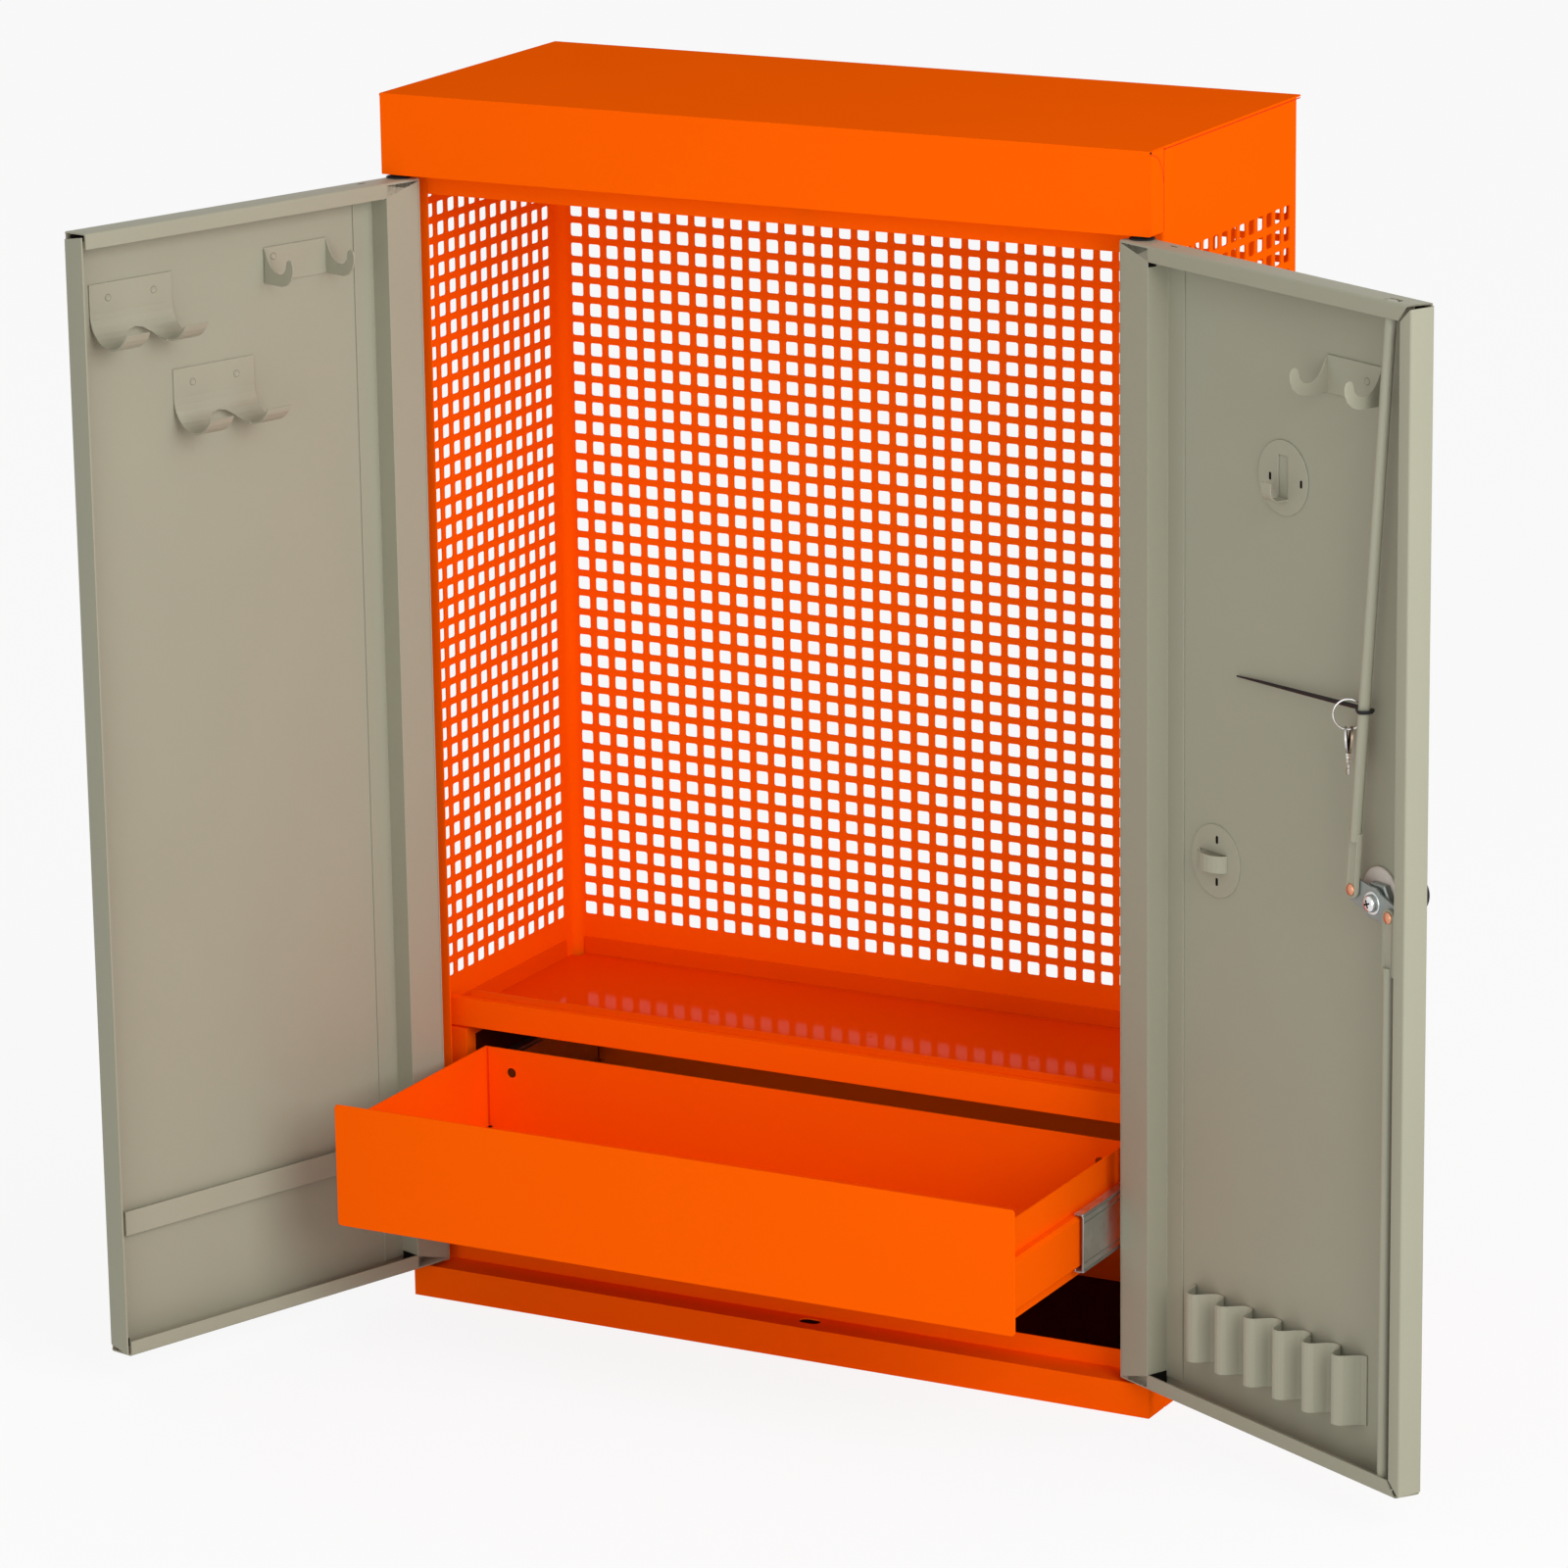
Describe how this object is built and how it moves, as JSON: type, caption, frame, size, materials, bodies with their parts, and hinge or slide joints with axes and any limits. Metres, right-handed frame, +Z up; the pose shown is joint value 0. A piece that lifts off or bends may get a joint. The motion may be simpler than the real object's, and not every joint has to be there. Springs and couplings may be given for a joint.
{
  "type": "tool cabinet with doors",
  "caption": "Wall-hung sheet-metal tool cabinet: perforated shell, tray, sliding drawer and two pin-hinged pan doors with tool holders and a two-rod lock.",
  "frame": {"origin": "centre of the base's bottom rectangle", "axes": "+X to the right, +Y to the back, +Z up, as seen from the front"},
  "size_m": [0.9493, 0.52, 0.9],
  "materials": {
    "shell_orange": "semi-gloss powder coat",
    "door_paint": "satin powder coat",
    "holder_paint": "satin powder coat",
    "slide_zinc": "zinc plated",
    "pin_steel": "plain steel",
    "bush_black": "moulded",
    "cam_zinc": "cast zinc",
    "knob_black": "moulded",
    "rod_paint": "satin powder coat",
    "collar_zinc": "zinc plated"
  },
  "bodies": {
    "cabinet": {"top_hood": "shell_orange", "header_rail": "shell_orange", "side_panel_left": "shell_orange", "side_panel_right": "shell_orange", "back_panel": "shell_orange", "base_pan": "shell_orange", "shelf_tray": "shell_orange", "tray_lips": "shell_orange", "tray_rail": "shell_orange", "runner_bracket_left": "shell_orange", "runner_bracket_right": "shell_orange", "slide_outer_left": "slide_zinc", "slide_outer_right": "slide_zinc", "hinge_pins": "pin_steel"},
    "left_door": {"door_left_pan": "door_paint", "door_left_stile": "door_paint", "hinge_bushes_left": "bush_black", "cradle_high": "holder_paint", "cradle_low": "holder_paint", "hook_bracket_left": "holder_paint", "holder_bar": "holder_paint"},
    "right_door": {"door_right_pan": "door_paint", "door_right_stile": "door_paint", "hinge_bushes_right": "bush_black", "hook_bracket_right": "holder_paint", "round_hook_plate": "holder_paint", "round_strap_plate": "holder_paint", "wave_holder": "holder_paint", "lock_collar": "collar_zinc"},
    "drawer": {"drawer_box": "shell_orange", "drawer_front": "shell_orange", "drawer_rail_left": "shell_orange", "drawer_rail_right": "shell_orange"},
    "slide_left": {"slide_middle_left": "slide_zinc"},
    "slide_right": {"slide_middle_right": "slide_zinc"},
    "lock": {"lock_knob": "knob_black", "lock_cam": "cam_zinc"},
    "rod_upper": {"lock_rod_upper": "rod_paint"},
    "rod_lower": {"lock_rod_lower": "rod_paint"}
  },
  "joints": [
    {"name": "left_door_hinge", "type": "hinge", "parent": "cabinet", "child": "left_door", "pos_m": [-0.291, -0.117, 0.433], "axis": [0, 0, -1], "range_deg": [-19.6, 70.4]},
    {"name": "right_door_hinge", "type": "hinge", "parent": "cabinet", "child": "right_door", "pos_m": [0.291, -0.117, 0.433], "axis": [0, 0, 1], "range_deg": [-63.6, 26.4]},
    {"name": "drawer_slide", "type": "slide", "parent": "cabinet", "child": "drawer", "axis": [0, 1, 0], "range_m": [0, 0.194]},
    {"name": "slide_left_run", "type": "slide", "parent": "cabinet", "child": "slide_left", "axis": [0, 1, 0], "range_m": [0, 0.097]},
    {"name": "slide_right_run", "type": "slide", "parent": "cabinet", "child": "slide_right", "axis": [0, 1, 0], "range_m": [0, 0.097]},
    {"name": "lock_turn", "type": "hinge", "parent": "right_door", "child": "lock", "pos_m": [0.51493, -0.22816, 0.433], "axis": [0.4446, 0.8957, 0], "range_deg": [0, 90]},
    {"name": "rod_upper_run", "type": "slide", "parent": "right_door", "child": "rod_upper", "axis": [0.077, -0.0382, 0.9963], "range_m": [0, 0.0148]},
    {"name": "rod_lower_run", "type": "slide", "parent": "right_door", "child": "rod_lower", "axis": [-0.0021, 0.001, -1], "range_m": [0, 0.0127]}
  ],
  "couplings": [
    {"joint": "slide_left_run", "follows": "drawer_slide", "ratio": 0.5},
    {"joint": "slide_right_run", "follows": "drawer_slide", "ratio": 0.5},
    {"joint": "lock_turn", "follows": "rod_upper_run", "rad_per_m": 106.13},
    {"joint": "rod_lower_run", "follows": "rod_upper_run", "ratio": 0.858}
  ]
}
